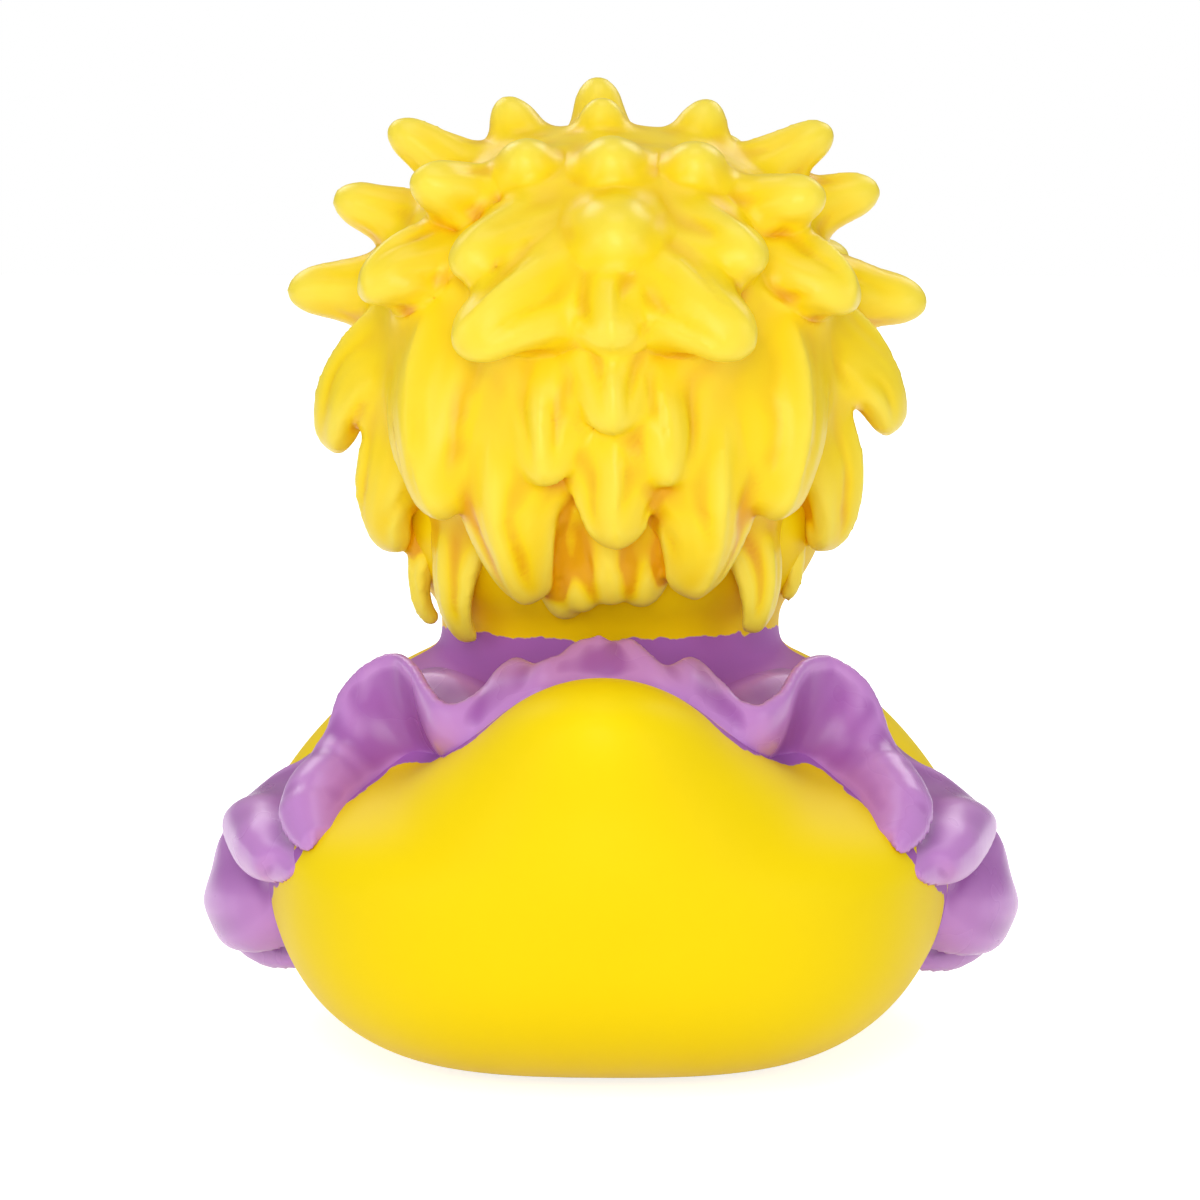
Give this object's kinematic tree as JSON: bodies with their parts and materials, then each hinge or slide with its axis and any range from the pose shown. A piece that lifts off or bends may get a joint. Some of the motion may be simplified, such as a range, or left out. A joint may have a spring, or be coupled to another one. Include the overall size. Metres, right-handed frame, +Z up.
{
  "type": "rubber duck",
  "caption": "Soft vinyl bath duck with a spiky moulded head of hair, a wavy painted ruffle round its shoulders, an upturned tail and a squeaker in its flat base.",
  "frame": {"origin": "on the surface that the duck stands on, under the middle of its bounding box", "axes": "+Z up, the duck looks along -Y and its tail points to +Y, +X is at its left side"},
  "size_m": [0.082, 0.0786, 0.0974],
  "materials": {
    "vinyl_yellow": "satin",
    "paint_hair": "satin",
    "paint_purple": "satin",
    "paint_bill": "satin",
    "paint_eye": "gloss",
    "squeaker_plastic": "matte"
  },
  "bodies": {
    "root": {"duck_shell": "vinyl_yellow", "squeaker_housing": "squeaker_plastic", "squeaker_reed_seat": "squeaker_plastic", "squeaker_reed": "squeaker_plastic"}
  },
  "joints": []
}
